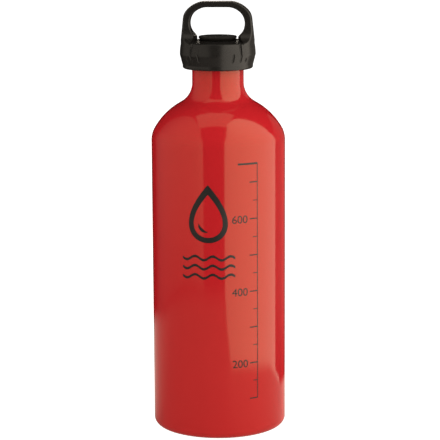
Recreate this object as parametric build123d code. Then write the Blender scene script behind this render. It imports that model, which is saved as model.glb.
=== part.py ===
"""Camping fuel bottle: a one-piece aluminium bottle closed by a push-and-turn screw cap.

Frame: millimetres, +Z up, origin at the centre of the base, on the plane the bottle stands on.
The carry loop of the cap lies in the XZ plane.  A threaded plug with an O-ring closes the
mouth.  The outer shell spins freely on the plug and drives it only while it is pressed down
against a wave spring.  A button snapped into the plug holds shell and spring on it.
"""

from build123d import *
import math
import os

# Bottle, outside
body_radius = 39.5
body_height = 172.9
base_corner_radius = 4.2
shoulder_low_radius = 14.3
shoulder_low_angle = 29.9
shoulder_slope_angle = 58.7
shoulder_straight = 2.7
neck_fillet_radius = 13.1
neck_radius = 15.2
neck_length = 13.9

# Bottle, walls and base
body_wall = 1.0
base_wall = 1.8
dish_radius = 27.0
dish_depth = 3.0

# Bottle mouth
neck_bore_radius = 13.2
mouth_chamfer = 1.3
rim_bevel = 0.4

# Screw thread, cut here as a plain cylinder with the play of its helix
thread_play = 1.15

# Seal
o_ring_wire = 2.4
seat_clearance = 0.03

# Threaded plug
plug_depth = 12.0
plug_wall = 2.4
plug_end_chamfer = 0.8
plug_roof = 2.0
flange_radius = 18.7
flange_thickness = 2.2
flange_edge_chamfer = 0.4
spring_guide_height = 0.9
socket_radius = 5.4
socket_depth = 4.2
snap_groove_depth = 0.35
snap_groove_width = 1.0

# Drive teeth, shared by the plug and the shell
tooth_count = 12
tooth_inner_radius = 14.4
tooth_outer_radius = 17.4
tooth_angle = 13.0
plug_tooth_height = 2.0
shell_tooth_height = 2.1
tooth_gap = 0.4

# Wave spring of flat wire
spring_inner_radius = 10.0
spring_outer_radius = 13.4
spring_guide_clearance = 0.3
spring_strip = 0.4
spring_waves = 3
spring_gap_angle = 8.0
spring_sections = 36

# Outer shell
top_plate = 2.6
skirt_height = 16.5
deck_fall = 0.8
deck_radius = 21.05
deck_edge_round = 1.3
crest_radius = 22.3
crest_drop = 8.3
lip_radius = 20.7
lip_height = 2.6
lip_step = 0.15
lip_round = 1.2
lobe_step = 0.8
lobe_angle = 98.0
lobe_fade = 0.15
skirt_clearance = 0.3

# Well in the deck and the button that stands in it
well_radius = 12.5
well_depth = 1.2
well_draft = 0.4
button_top_height = 2.0
button_top_radius = 10.5
button_rim = 0.7
button_waist_radius = 9.3
button_edge_bevel = 0.3
button_dish_depth = 0.35
button_dish_radius = 8.0
button_neck_radius = 8.2
shell_hole_clearance = 0.25

# Carry loop
loop_height = 22.6
loop_top_half_width = 19.3
loop_foot_half_width = 21.7
loop_corner_radius = 11.2
loop_top_bar = 3.4
slot_half_width = 16.0
slot_end_radius = 9.45
loop_depth = 8.6
loop_flare_radius = 11.5
loop_edge_round = 1.1
foot_gap_half_width = 12.6
foot_gap_angle = 18.0

# Finger grips: leaning grooves on the lower skirt, in four mirrored groups
grip_angles = (27.3, 41.0, 51.5)
grip_tops = (9.8, 9.0, 6.2)
grip_foot = 5.6
grip_slant = 6.0
grip_radius = 0.85
grip_depth = 0.6

# Valleys that carry the middle grooves up to the deck, along the sides of the panels
valley_lean = 9.0

overrun = 1.0


# Levels and radii worked out from the sizes above
cos_low = math.cos(math.radians(shoulder_low_angle))
sin_low = math.sin(math.radians(shoulder_low_angle))
cos_slope = math.cos(math.radians(shoulder_slope_angle))
sin_slope = math.sin(math.radians(shoulder_slope_angle))
shoulder_high_radius = (
    body_radius
    - neck_radius
    - shoulder_low_radius * (1 - cos_low)
    - neck_fillet_radius * (1 - cos_slope)
    - shoulder_straight * sin_slope
) / (cos_low - cos_slope)
slope_foot_level = (
    body_height + shoulder_low_radius * sin_low + shoulder_high_radius * (sin_slope - sin_low)
)
neck_level = slope_foot_level + shoulder_straight * cos_slope + neck_fillet_radius * sin_slope
rim_level = neck_level + neck_length

plug_radius = neck_bore_radius - thread_play
o_ring_radius = o_ring_wire / 2
o_ring_centre_radius = plug_radius + seat_clearance + o_ring_radius
chamfer_reach = math.sqrt(2) * (o_ring_radius + seat_clearance)
o_ring_level = rim_level - mouth_chamfer + o_ring_centre_radius - neck_bore_radius + chamfer_reach
flange_level = o_ring_level + o_ring_radius + seat_clearance
flange_top = flange_level + flange_thickness
plug_end = rim_level - plug_depth
shell_teeth_level = flange_top + plug_tooth_height + tooth_gap
shell_roof = shell_teeth_level + shell_tooth_height
shell_top = shell_roof + top_plate
skirt_level = shell_top - skirt_height
skirt_bore_radius = flange_radius + skirt_clearance
crest_level = shell_top - crest_drop
well_level = shell_top - well_depth
button_top = shell_top + button_top_height
spring_guide_radius = spring_inner_radius - spring_guide_clearance
socket_floor = flange_top + spring_guide_height - socket_depth
loop_top = shell_top + loop_height
slot_level = loop_top - loop_top_bar - slot_end_radius


def turned(outline):
    """Turn a closed outline of the XZ plane once about Z."""
    return revolve(make_face(Plane.XZ * outline), Axis.Z)


def bottle_side(start, inset, bore):
    """Edges of a bottle wall, inset from the outside, from the base to the foot of the neck."""
    side_radius = body_radius - inset
    corner = JernArc(start, (1, 0), base_corner_radius - inset, 90)
    side = Line(corner @ 1, (side_radius, body_height))
    low = JernArc(side @ 1, (0, 1), shoulder_low_radius - inset, shoulder_low_angle)
    high_turn = shoulder_slope_angle - shoulder_low_angle
    high = JernArc(low @ 1, low % 1, shoulder_high_radius - inset, high_turn)
    fillet_radius = neck_fillet_radius + inset
    run = (high @ 1).X - bore - fillet_radius * (1 - cos_slope)
    slope = Line(high @ 1, (high @ 1) + Vector(-run, run * cos_slope / sin_slope))
    flare = JernArc(slope @ 1, slope % 1, fillet_radius, -shoulder_slope_angle)
    return [corner, side, low, high, slope, flare]


def inner_side():
    """Edges of the inside of the bottle's wall, which joins a narrower neck bore."""
    start = (body_radius - base_corner_radius, base_wall)
    return bottle_side(start, body_wall, neck_bore_radius)


def dished(level):
    """Arc of the dished base whose rim lies at the given level, from the axis outwards."""
    sag_share = 1 - 1 / 4
    middle = (dish_radius / 2, level + dish_depth * sag_share)
    return ThreePointArc((0, level + dish_depth), middle, (dish_radius, level))


def make_bottle():
    """The drawn aluminium bottle: dished base, straight side, two-arc shoulder and thick neck."""
    outer = bottle_side((body_radius - base_corner_radius, 0), 0, neck_radius)
    inner = inner_side()
    mouth = Polyline(
        outer[-1] @ 1,
        (neck_radius, rim_level - rim_bevel),
        (neck_radius - rim_bevel, rim_level),
        (neck_bore_radius + mouth_chamfer, rim_level),
        (neck_bore_radius, rim_level - mouth_chamfer),
        inner[-1] @ 1,
    )
    base = [
        dished(0),
        Line((dish_radius, 0), outer[0] @ 0),
        Line((0, dish_depth), (0, dish_depth + base_wall)),
        dished(base_wall),
        Line((dish_radius, base_wall), inner[0] @ 0),
    ]
    return turned(Wire(outer + list(mouth.edges()) + inner + base))


def make_fuel_space():
    """The room that liquid can fill up to the rim, made only to measure the capacity."""
    side = inner_side()
    edges = [
        Line(side[-1] @ 1, (neck_bore_radius, rim_level)),
        Line((neck_bore_radius, rim_level), (0, rim_level)),
        Line((0, rim_level), (0, dish_depth + base_wall)),
        dished(base_wall),
        Line((dish_radius, base_wall), side[0] @ 0),
    ]
    return turned(Wire(side + edges))


def make_o_ring():
    """The round-section seal between the flange of the plug and the chamfer of the mouth."""
    section = Plane.XZ * Pos(o_ring_centre_radius, o_ring_level) * Circle(o_ring_radius)
    return revolve(section, Axis.Z)


def drive_teeth(level, height, first_angle):
    """Equal sectors of a ring, standing on or hanging from a flat face."""
    half = math.radians(tooth_angle / 2)
    reach = tooth_outer_radius + overrun
    wedge = make_face(
        Polyline((0, 0), (reach, reach * math.tan(half)), (reach, -reach * math.tan(half)), close=True)
    )
    sector = wedge & (Circle(tooth_outer_radius) - Circle(tooth_inner_radius))
    tooth = Pos(0, 0, level) * extrude(sector, height)
    pitch = 360 / tooth_count
    return [Rot(0, 0, first_angle + pitch * index) * tooth for index in range(tooth_count)]


def make_plug():
    """The inner closure: hollow barrel, flange, spring guide, blind socket and drive teeth."""
    bore = plug_radius - plug_wall
    barrel_roof = min(flange_level, socket_floor - plug_roof)
    groove_top = socket_floor + 2 * snap_groove_width
    groove_foot = groove_top - snap_groove_width
    guide_top = flange_top + spring_guide_height
    outline = Polyline(
        (0, barrel_roof),
        (bore, barrel_roof),
        (bore, plug_end),
        (plug_radius - plug_end_chamfer, plug_end),
        (plug_radius, plug_end + plug_end_chamfer),
        (plug_radius, flange_level),
        (flange_radius - flange_edge_chamfer, flange_level),
        (flange_radius, flange_level + flange_edge_chamfer),
        (flange_radius, flange_top - flange_edge_chamfer),
        (flange_radius - flange_edge_chamfer, flange_top),
        (spring_guide_radius, flange_top),
        (spring_guide_radius, guide_top),
        (socket_radius, guide_top),
        (socket_radius, groove_top),
        (socket_radius + snap_groove_depth, groove_top),
        (socket_radius + snap_groove_depth, groove_foot),
        (socket_radius, groove_foot),
        (socket_radius, socket_floor),
        (0, socket_floor),
        close=True,
    )
    return turned(outline) + drive_teeth(flange_top, plug_tooth_height, 180 / tooth_count)


def make_wave_spring():
    """One gapped turn of flat wire, bent into waves between the flange and the shell's roof."""
    low = flange_top + seat_clearance + spring_strip / 2
    high = shell_roof - seat_clearance - spring_strip / 2
    middle_radius = (spring_inner_radius + spring_outer_radius) / 2
    width = spring_outer_radius - spring_inner_radius
    swing = (high - low) / 2
    sections = []
    for index in range(spring_sections + 1):
        turn_share = index / spring_sections
        degrees = spring_gap_angle / 2 + (360 - spring_gap_angle) * turn_share
        wave = math.radians(degrees * spring_waves)
        level = (low + high) / 2 - swing * math.cos(wave)
        outwards = Vector(1, 0, 0).rotate(Axis.Z, degrees)
        place = Plane(
            outwards * middle_radius + Vector(0, 0, level),
            x_dir=outwards,
            z_dir=outwards.rotate(Axis.Z, 90),
        )
        sections.append(place * Rectangle(width, spring_strip))
    return loft(sections)


def make_button():
    """The button: flared dished head, neck through the shell's hole, and a snap-in stem."""
    head_foot = well_level + seat_clearance
    rim_foot = button_top - button_rim
    stem_radius = socket_radius - seat_clearance
    guide_top = flange_top + spring_guide_height
    stem_foot = socket_floor + seat_clearance
    bead_top = socket_floor + 2 * snap_groove_width - seat_clearance
    bead_foot = bead_top - snap_groove_width + 2 * seat_clearance
    bead_radius = stem_radius + snap_groove_depth
    sag_share = 1 - 1 / 4
    dish = ThreePointArc(
        (0, button_top - button_dish_depth),
        (button_dish_radius / 2, button_top - button_dish_depth * sag_share),
        (button_dish_radius, button_top),
    )
    rest = Polyline(
        dish @ 1,
        (button_top_radius - button_edge_bevel, button_top),
        (button_top_radius, button_top - button_edge_bevel),
        (button_top_radius, rim_foot),
        (button_waist_radius, rim_foot - (button_top_radius - button_waist_radius)),
        (button_waist_radius, head_foot),
        (button_neck_radius, head_foot),
        (button_neck_radius, guide_top + seat_clearance),
        (stem_radius, guide_top + seat_clearance),
        (stem_radius, bead_top),
        (bead_radius, bead_top),
        (bead_radius, bead_foot),
        (stem_radius, bead_foot),
        (stem_radius, stem_foot),
        (0, stem_foot),
        dish @ 0,
    )
    return turned(Wire([dish] + list(rest.edges())))


def shell_side(step, crest_step):
    """Outer edges of the shell down to its foot, with its deck and its crest widened by steps."""
    fall = math.atan2(deck_fall, deck_radius - deck_edge_round - well_radius)
    run = deck_radius - deck_edge_round + step - well_radius
    deck_end = Vector(well_radius + run, shell_top - run * math.tan(fall))
    round_centre = deck_end - deck_edge_round * Vector(math.sin(fall), math.cos(fall))
    gain = crest_radius + crest_step - round_centre.X - deck_edge_round
    drop = round_centre.Y - crest_level
    lean = 2 * math.atan2(gain, drop)
    lip_top = skirt_level + lip_height
    along = (math.cos(fall), -math.sin(fall))
    edge = JernArc(deck_end, along, deck_edge_round, math.degrees(fall + lean) - 90)
    flank_radius = deck_edge_round + drop / math.sin(lean)
    flank = JernArc(edge @ 1, edge % 1, flank_radius, -math.degrees(lean))
    lower = Polyline(
        flank @ 1,
        (lip_radius + lip_step, lip_top),
        (lip_radius, lip_top),
        (lip_radius, skirt_level + lip_round),
    )
    foot = JernArc(lower @ 1, (0, -1), lip_round, -90)
    return [edge, flank] + list(lower.edges()) + [foot]


def shell_section():
    """Half section of the shell: hole, well, deck, raised side, straight bore and roof."""
    hole_radius = button_neck_radius + shell_hole_clearance
    side = shell_side(lobe_step, 0)
    inside = Polyline(
        side[-1] @ 1,
        (skirt_bore_radius, skirt_level),
        (skirt_bore_radius, shell_roof),
        (hole_radius, shell_roof),
        (hole_radius, well_level),
        (well_radius - well_draft, well_level),
        (well_radius, shell_top),
        side[0] @ 0,
    )
    return Wire(side + list(inside.edges()))


def side_reliefs():
    """What is cut from the upper side, front and back, to leave a panel between two lobes."""
    edge, flank = shell_side(0, lobe_fade)[:2]
    reach = crest_radius + lobe_step + overrun
    around = Polyline(
        flank @ 1,
        (reach, crest_level),
        (reach, shell_top + overrun),
        ((edge @ 0).X, shell_top + overrun),
        edge @ 0,
    )
    half = math.radians(90 - lobe_angle / 2)
    spread = reach * math.tan(half)
    wedge = make_face(Polyline((0, 0), (spread, -reach), (-spread, -reach), close=True))
    block = Pos(0, 0, skirt_level) * extrude(wedge, skirt_height + 2 * overrun)
    relief = turned(Wire([edge, flank] + list(around.edges()))) & block
    return [relief, Rot(0, 0, 180) * relief]


def make_loop():
    """The carry loop: a turned dome with widely flared feet, slotted, rounded and parted."""
    foot = max(shell_top - deck_fall - deck_edge_round, shell_roof)
    half_depth = loop_depth / 2
    half_foot = half_depth + loop_flare_radius
    side_wall = Line((loop_foot_half_width, shell_top), (loop_top_half_width, loop_top))
    top_wall = Line(side_wall @ 1, (0, loop_top))
    crown = FilletPolyline(side_wall @ 0, side_wall @ 1, top_wall @ 1, radius=loop_corner_radius)
    under = Polyline(crown @ 1, (0, foot), (loop_foot_half_width, foot), crown @ 0)
    dome = turned(Wire(list(crown.edges()) + list(under.edges())))

    bottom = Line((-half_foot, foot), (half_foot, foot))
    right = Line(bottom @ 1, (half_foot, shell_top - deck_fall))
    flare = JernArc(right @ 1, (-1, 0), loop_flare_radius, -90)
    rise = Line(flare @ 1, (half_depth, loop_top))
    top = Line(rise @ 1, (-half_depth, loop_top))
    half = Wire([right, flare, rise])
    side_face = make_face(Wire([bottom, top] + list(half.edges()) + list(half.mirror(Plane.YZ).edges())))
    side = extrude(Plane.YZ * side_face, loop_foot_half_width, both=True)

    slot = Pos(0, slot_level) * SlotOverall(2 * slot_half_width, 2 * slot_end_radius)
    slot_space = extrude(Plane.XZ * slot, half_foot, both=True)
    loop = (dome & side) - slot_space
    rims = loop.edges().filter_by(
        lambda edge: edge.center().Z > shell_top and abs(edge.center().Y) > half_depth - loop_edge_round / 2
    )
    return fillet(rims, loop_edge_round) - foot_gaps()


def foot_gaps():
    """The open room between the feet of the loop, in front of the button and behind it."""
    reach = crest_radius + overrun
    slope = math.tan(math.radians(foot_gap_angle))
    near = foot_gap_half_width - loop_depth / 2 * slope
    far = near + reach * slope
    plan = make_face(Polyline((near, 0), (far, -reach), (-far, -reach), (-near, 0), close=True))
    gap = Pos(0, 0, shell_roof) * extrude(plan, slot_level - shell_roof)
    return [gap, Rot(0, 0, 180) * gap]


def groove_cutter(angle, foot, top, lean, slant):
    """A round cutter with pointed ends that meets the crest, at an angle from the front."""
    length = top - foot
    tip = Cone(grip_radius, 0, 2 * grip_radius)
    rod = Pos(0, 0, length / 2) * Cylinder(grip_radius, length)
    rod = rod + Pos(0, 0, length + grip_radius) * tip + Pos(0, 0, -grip_radius) * Rot(180, 0, 0) * tip
    crest = crest_level - skirt_level
    axis_radius = crest_radius + grip_radius - grip_depth + (foot - crest) * math.tan(math.radians(lean))
    place = Pos(axis_radius, 0, skirt_level + foot) * Rot(-slant, lean, 0)
    return Rot(0, 0, angle - 90) * place * rod


def grip_cutters():
    """What is cut from the skirt for its grips: four mirrored groups, each with a valley."""
    crest = crest_level - skirt_level
    grip_lean = math.degrees(math.atan2(crest_radius - lip_radius, crest - lip_height))
    cutters = []
    for half_turn in (0, 180):
        for hand in (-1, 1):
            for angle, top in zip(grip_angles, grip_tops):
                place = half_turn + hand * angle
                cutters.append(groove_cutter(place, grip_foot, top, grip_lean, hand * grip_slant))
            place = half_turn + hand * grip_angles[1]
            cutters.append(groove_cutter(place, crest, skirt_height, -valley_lean, 0))
    return cutters


def make_shell():
    """The outer cap that the hand holds: skirt, lobes, loop, grips, well and drive teeth."""
    well_space = Pos(0, 0, (shell_roof + slot_level) / 2) * Cylinder(well_radius, slot_level - shell_roof)
    body = turned(shell_section()) - side_reliefs() + (make_loop() - well_space) - grip_cutters()
    return body + drive_teeth(shell_teeth_level, shell_tooth_height, 0)


os.makedirs("parts", exist_ok=True)
pieces = {
    "bottle": make_bottle(),
    "o_ring": make_o_ring(),
    "plug": make_plug(),
    "wave_spring": make_wave_spring(),
    "center_button": make_button(),
    "cap_shell": make_shell(),
}
for name, piece in pieces.items():
    export_step(piece, f"parts/{name}.step")
print("brimful millilitres", round(make_fuel_space().volume / 1000, 1))
print("neck, rim, deck and loop levels", [round(z, 2) for z in (neck_level, rim_level, shell_top, loop_top)])
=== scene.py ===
"""Looks of a camping fuel bottle: enamel, prints, threads, rubber, steel and moulded plastic.

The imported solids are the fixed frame.  Pieces made here are surfaces computed with numpy, in
metres, in the same frame: +Z up, origin at the centre of the base, carry loop in the XZ plane.
"""

import logging
import math
from dataclasses import dataclass
from enum import Enum
from typing import Iterable, Optional, Sequence

import bmesh
import bpy
import numpy as np
from mathutils import Matrix, Vector


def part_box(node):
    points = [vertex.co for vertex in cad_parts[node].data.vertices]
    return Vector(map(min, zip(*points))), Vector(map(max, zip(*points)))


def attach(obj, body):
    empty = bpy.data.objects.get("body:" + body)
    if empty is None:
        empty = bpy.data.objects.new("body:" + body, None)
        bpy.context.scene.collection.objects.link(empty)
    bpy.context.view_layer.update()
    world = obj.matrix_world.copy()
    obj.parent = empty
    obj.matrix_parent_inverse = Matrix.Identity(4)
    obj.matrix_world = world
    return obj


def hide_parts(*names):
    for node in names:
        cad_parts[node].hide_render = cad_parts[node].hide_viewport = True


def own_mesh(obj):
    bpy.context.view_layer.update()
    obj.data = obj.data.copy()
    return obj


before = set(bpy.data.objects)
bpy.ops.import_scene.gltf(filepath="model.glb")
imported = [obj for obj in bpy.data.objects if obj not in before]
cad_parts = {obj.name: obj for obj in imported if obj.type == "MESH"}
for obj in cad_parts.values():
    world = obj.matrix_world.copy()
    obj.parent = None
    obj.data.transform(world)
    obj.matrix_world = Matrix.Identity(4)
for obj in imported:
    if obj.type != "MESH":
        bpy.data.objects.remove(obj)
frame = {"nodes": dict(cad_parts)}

Piece = bpy.types.Object
Socket = bpy.types.NodeSocket
Tree = bpy.types.NodeTree

MM = 0.001
ML = 1e-6
ARC_STEP = 2.5
REPEAT_GAP = 1e-6
MERGE_GAP = 1e-7
WELD_GAP = 2e-6
SHARP_ANGLE = 28.0
EVEN_WEIGHT = 80
STROKE_EDGES = np.array([[-0.5, 0.5]])
STROKE_LINES = np.array([[-0.5, 0.0, 0.5]])
WHITE = (1.0, 1.0, 1.0, 1.0)
LOG = logging.getLogger("fuel_bottle")
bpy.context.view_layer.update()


class Slot(Enum):
    """Names of the record's material slots."""

    PAINT = "bottle_paint"
    METAL = "bare_metal"
    INK = "print_ink"
    CAP = "cap_plastic"
    BUTTON = "button_plastic"
    PLUG = "plug_plastic"
    RUBBER = "seal_rubber"
    STEEL = "spring_steel"


class Body(Enum):
    """Names of the frame's moving bodies."""

    BOTTLE = "bottle"
    SEAL = "seal"
    PLUG = "plug"
    SPRING = "spring"
    SHELL = "shell"


# Outlines and surfaces


def line(start: Sequence[float], end: Sequence[float]) -> np.ndarray:
    """The two ends of a straight run, as an array of (radius, height)."""
    return np.array([start, end], float)


def arc(
    start: Sequence[float], heading: float, radius: float, turn: float, step: float = ARC_STEP
) -> np.ndarray:
    """Points on an arc that leaves a point in a given heading.

    The centre lies at a right angle to the heading, to its left for a positive turn; the points
    are the start turned about that centre in equal steps.

    Args:
        start: first point as (radius, height).
        heading: direction at the start, in degrees from the outward axis.
        radius: radius of the arc.
        turn: signed angle that the heading changes by, in degrees.
        step: largest angle between two points, in degrees.

    Returns:
        Array of points, both ends included.
    """
    side = math.copysign(1.0, turn)
    first = math.radians(heading) - side * math.pi / 2
    centre = np.asarray(start, float) - radius * np.array([math.cos(first), math.sin(first)])
    count = max(3, int(abs(turn) / step) + 2)
    angles = first + np.radians(np.linspace(0.0, turn, count))
    return centre + radius * np.stack([np.cos(angles), np.sin(angles)], axis=1)


def dish_arc(radius: float, depth: float) -> tuple[float, float]:
    """The arc that sinks by a depth d over a radius r from the axis.

    Its radius is (r^2 + d^2) / 2d, and it turns by twice the angle whose tangent is d / r.

    Args:
        radius: radius of the dish at its rim.
        depth: depth of the dish in its middle.

    Returns:
        Radius of the arc, and the angle that it turns by, in degrees.
    """
    return (radius**2 + depth**2) / (2 * depth), 2 * math.degrees(math.atan2(depth, radius))


def chain(runs: Iterable[np.ndarray]) -> np.ndarray:
    """Join runs of points into one outline and drop points that repeat.

    Args:
        runs: arrays of shape (n, 2) in order.

    Returns:
        The joined outline.
    """
    points = np.concatenate(list(runs))
    gaps = np.linalg.norm(np.diff(points, axis=0), axis=1)
    return points[np.concatenate([[True], gaps > REPEAT_GAP])]


def make_object(name: str, points: np.ndarray, faces: list, smooth: bool = True) -> Piece:
    """Put points and faces into a new mesh object at the origin.

    Args:
        name: the piece's name.
        points: array of points, the last axis being (x, y, z) in metres.
        faces: lists of point indices, outside to the eye anticlockwise.
        smooth: whether its faces are shaded smooth.

    Returns:
        The new object, linked to the scene.
    """
    mesh = bpy.data.meshes.new(name)
    mesh.from_pydata(np.asarray(points, float).reshape(-1, 3).tolist(), [], faces)
    mesh.validate()
    mesh.polygons.foreach_set("use_smooth", np.full(len(mesh.polygons), smooth))
    mesh.update()
    piece = bpy.data.objects.new(name, mesh)
    bpy.context.scene.collection.objects.link(piece)
    return piece


def mesh_parts(mesh: bpy.types.Mesh) -> tuple[np.ndarray, list]:
    """Read a mesh's points and faces.

    Args:
        mesh: the mesh.

    Returns:
        Array of shape (n, 3), and a tuple of point indices for each face.
    """
    points = np.empty(len(mesh.vertices) * 3)
    mesh.vertices.foreach_get("co", points)
    return points.reshape(-1, 3), [tuple(face.vertices) for face in mesh.polygons]


def grid_faces(rows: int, columns: int, looped: bool = False, ringed: bool = False) -> list:
    """Quads of a grid of points numbered row by row.

    Args:
        rows: number of rows.
        columns: number of columns.
        looped: whether the last row joins the first.
        ringed: whether the last column joins the first.

    Returns:
        Lists of four point indices.
    """
    row = np.arange(rows if looped else rows - 1)
    column = np.arange(columns if ringed else columns - 1)
    row, column = (part.ravel() for part in np.meshgrid(row, column, indexing="ij"))
    here, below = row * columns, (row + 1) % rows * columns
    beside = (column + 1) % columns
    corners = [here + column, here + beside, below + beside, below + column]
    return np.stack(corners, axis=1).tolist()


def lathe(name: str, outline: np.ndarray, segments: int, looped: bool = False) -> Piece:
    """Turn an outline once about Z.

    A point (r, z) at angle a lies at (r cos a, r sin a, z).  An outline that starts and ends on
    the axis gets one pole point at each end; a looped outline closes on itself.

    Args:
        name: the piece's name.
        outline: array of (radius, height), running so that the outside is on its right.
        segments: number of steps around.
        looped: whether the outline is closed.

    Returns:
        The turned piece, closed and facing outwards.
    """
    angles = np.arange(segments) * 2 * math.pi / segments
    ring = outline if looped else outline[1:-1]
    around = np.stack([np.cos(angles), np.sin(angles)], axis=1)
    flat = ring[:, None, 0, None] * around[None]
    height = np.broadcast_to(ring[:, None, 1, None], (len(ring), segments, 1))
    points = np.concatenate([flat, height], axis=2).reshape(-1, 3)
    faces = grid_faces(len(ring), segments, looped, True)
    if not looped:
        first, last = len(points), len(points) + 1
        points = np.concatenate([points, [[0, 0, outline[0, 1]], [0, 0, outline[-1, 1]]]])
        here = np.arange(segments)
        beside = (here + 1) % segments
        top = (len(ring) - 1) * segments
        faces += np.stack([np.full(segments, first), beside, here], axis=1).tolist()
        faces += np.stack([np.full(segments, last), top + here, top + beside], axis=1).tolist()
    return make_object(name, points, faces)


def weld(piece: Piece, gap: float = MERGE_GAP, outwards: bool = True) -> None:
    """Merge points that lie closer together than a gap.

    Args:
        piece: the piece.
        gap: the least distance between two points.
        outwards: whether every face is also turned outwards.
    """
    work = bmesh.new()
    work.from_mesh(piece.data)
    bmesh.ops.remove_doubles(work, verts=work.verts, dist=gap)
    if outwards:
        bmesh.ops.recalc_face_normals(work, faces=work.faces)
    work.to_mesh(piece.data)
    work.free()
    piece.data.update()


def sweep(name: str, points: np.ndarray, looped: bool = False, smooth: bool = True) -> Piece:
    """A closed skin over rings of points, with a face at each end unless it is looped.

    Args:
        name: the piece's name.
        points: array of shape (rings, points of a ring, 3).
        looped: whether the last ring joins the first.
        smooth: whether its faces are shaded smooth.

    Returns:
        The piece, facing outwards.
    """
    rows, columns = points.shape[:2]
    faces = grid_faces(rows, columns, looped, True)
    if not looped:
        faces += [list(range(columns)), list(range((rows - 1) * columns, rows * columns))]
    piece = make_object(name, points, faces, smooth)
    weld(piece)
    return piece


def shade_edges(piece: Piece) -> None:
    """Shade smooth up to the edges that turn sharply, and keep flat faces even.

    Args:
        piece: the piece.
    """
    piece.data.set_sharp_from_angle(angle=math.radians(SHARP_ANGLE))
    even = piece.modifiers.new("even_shading", "WEIGHTED_NORMAL")
    even.keep_sharp = True
    even.weight = EVEN_WEIGHT


# Shader building


def feed(tree: Tree, source: object, target: Socket) -> None:
    """Link a socket to a target, or set the target to a value.

    Args:
        tree: the node tree.
        source: an output socket, a number or a colour.
        target: the input socket.
    """
    if isinstance(source, Socket):
        tree.links.new(source, target)
    else:
        target.default_value = source


def maths(tree: Tree, operation: str, first: object, second: object) -> Socket:
    """Add a Math node on two sockets or numbers.

    Args:
        tree: the node tree.
        operation: the node's operation.
        first: its first operand.
        second: its second operand.

    Returns:
        The node's output.
    """
    node = tree.nodes.new("ShaderNodeMath")
    node.operation = operation
    feed(tree, first, node.inputs[0])
    feed(tree, second, node.inputs[1])
    return node.outputs[0]


def opaque(colour: Sequence[float]) -> tuple:
    """A colour with full cover."""
    return (*colour, 1.0)


class Mix(Enum):
    """Kinds of Mix node, each with the places of its two inputs and its output."""

    FLOAT = (2, 3, 0)
    RGBA = (6, 7, 2)


class Shader:
    """A material under construction: its node tree and its Principled BSDF."""

    def __init__(self, name: str) -> None:
        """Start a node material.

        Args:
            name: the material's name.
        """
        self.material = bpy.data.materials.new(name)
        self.material.use_nodes = True
        self.tree = self.material.node_tree
        self.surface = self.tree.nodes["Principled BSDF"]
        self.places = self.tree.nodes.new("ShaderNodeTexCoord").outputs["Object"]

    def constants(self, **values: object) -> None:
        """Set sockets of the surface to values; underscores stand for spaces."""
        for name, value in values.items():
            self.surface.inputs[name.replace("_", " ")].default_value = value

    def effect(self, group: Tree, **values: float) -> bpy.types.NodeOutputs:
        """Place an effect group, fed with object coordinates.

        Args:
            group: the effect's node group.
            values: a value for each of its inputs.

        Returns:
            The group's outputs.
        """
        node = self.tree.nodes.new("ShaderNodeGroup")
        node.node_tree = group
        for name, value in {"Place": self.places, **values}.items():
            feed(self.tree, value, node.inputs[name])
        return node.outputs

    def join(self, output: Socket, target: str) -> None:
        """Link an output to one of the surface's inputs."""
        self.tree.links.new(output, self.surface.inputs[target])

    def relief(self, effect: bpy.types.NodeOutputs) -> None:
        """Take the surface's roughness and normal from an effect."""
        self.join(effect["Roughness"], "Roughness")
        self.join(effect["Normal"], "Normal")

    def mixed(self, kind: Mix, mask: Socket, first: object, second: object) -> Socket:
        """Mix two colours or numbers, each a socket or a value.

        Args:
            kind: what is mixed.
            mask: the share of the second.
            first: what shows where the mask is 0.
            second: what shows where the mask is 1.

        Returns:
            The mixed colour or number.
        """
        node = self.tree.nodes.new("ShaderNodeMix")
        node.data_type = kind.name
        low, high, result = kind.value
        for place, source in (("Factor", mask), (low, first), (high, second)):
            feed(self.tree, source, node.inputs[place])
        return node.outputs[result]

    def tint(self, cloud: Socket, shade: Sequence[float], colour: Sequence[float]) -> Socket:
        """Mix two opaque colours by a cloud."""
        return self.mixed(Mix.RGBA, cloud, opaque(shade), opaque(colour))


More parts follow.
